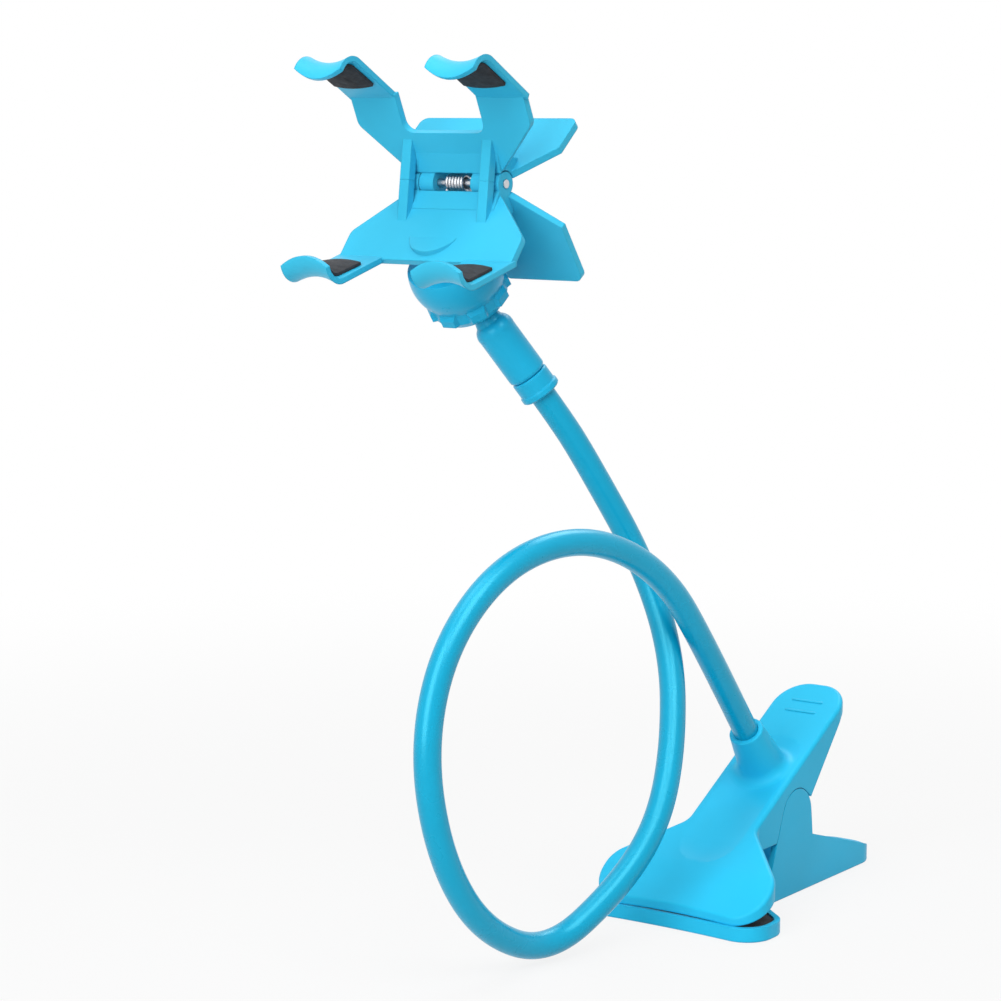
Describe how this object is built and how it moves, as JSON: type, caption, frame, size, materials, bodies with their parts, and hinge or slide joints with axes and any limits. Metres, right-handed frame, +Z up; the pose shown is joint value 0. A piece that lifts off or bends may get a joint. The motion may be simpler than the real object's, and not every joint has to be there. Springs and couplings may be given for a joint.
{
  "type": "gooseneck handset holder with clamp",
  "caption": "Flexible desk holder for a handset: a spring clamp foot, a looped gooseneck arm and a sprung claw clip on a ball joint.",
  "frame": {"origin": "on the desk under the middle of the clamp, 3.5 mm in front of its hinge pin", "axes": "+X along the clamp's hinge pin, +Y towards the clamp's handles, +Z up; the jaws bite towards -Y"},
  "size_m": [0.1393, 0.2444, 0.3051],
  "materials": {
    "clamp_plastic": "satin moulded",
    "clip_plastic": "satin moulded",
    "joint_plastic": "semi-gloss moulded",
    "arm_plastic": "glossy extruded",
    "core_metal": "drawn rod",
    "pad_rubber": "matte foam rubber",
    "steel": "drawn wire"
  },
  "bodies": {
    "clamp_base": {"clamp_lower_jaw": "clamp_plastic", "lower_jaw_pad": "pad_rubber", "clamp_hinge_pin": "steel", "clamp_spring": "steel"},
    "arm": {"clamp_upper_jaw": "clamp_plastic", "upper_jaw_pad": "pad_rubber", "gooseneck_sheath": "arm_plastic", "gooseneck_core": "core_metal", "sleeve_collar": "joint_plastic", "ball_sleeve": "joint_plastic"},
    "lock_nut": {"ball_lock_nut": "joint_plastic"},
    "clip_base": {"clip_lower_half": "clip_plastic", "clip_hinge_pin": "steel", "clip_spring": "steel", "clip_pad_lower_left": "pad_rubber", "clip_pad_lower_right": "pad_rubber"},
    "clip_jaw": {"clip_upper_half": "clip_plastic", "clip_pad_upper_left": "pad_rubber", "clip_pad_upper_right": "pad_rubber"}
  },
  "joints": [
    {"name": "clamp_open", "type": "hinge", "parent": "clamp_base", "child": "arm", "pos_m": [0, 0.0035, 0.029], "axis": [-1, 0, 0], "range_deg": [0, 45], "stiffness_Nm_per_rad": 0.6, "springref_deg": -45.84, "deforming": ["clamp_spring"]},
    {"name": "ball_tilt", "type": "hinge", "parent": "arm", "child": "lock_nut", "pos_m": [-0.06495, -0.09383, 0.22533], "axis": [1, 0, 0], "range_deg": [-34, 20]},
    {"name": "head_spin", "type": "hinge", "parent": "lock_nut", "child": "clip_base", "pos_m": [-0.06495, -0.09383, 0.22533], "axis": [0, 0.6157, -0.788], "continuous": true},
    {"name": "clip_open", "type": "hinge", "parent": "clip_base", "child": "clip_jaw", "pos_m": [-0.06495, -0.09768, 0.26208], "axis": [-1, 0, 0], "range_deg": [0, 20], "stiffness_Nm_per_rad": 0.25, "springref_deg": -34.38, "deforming": ["clip_spring"]}
  ]
}
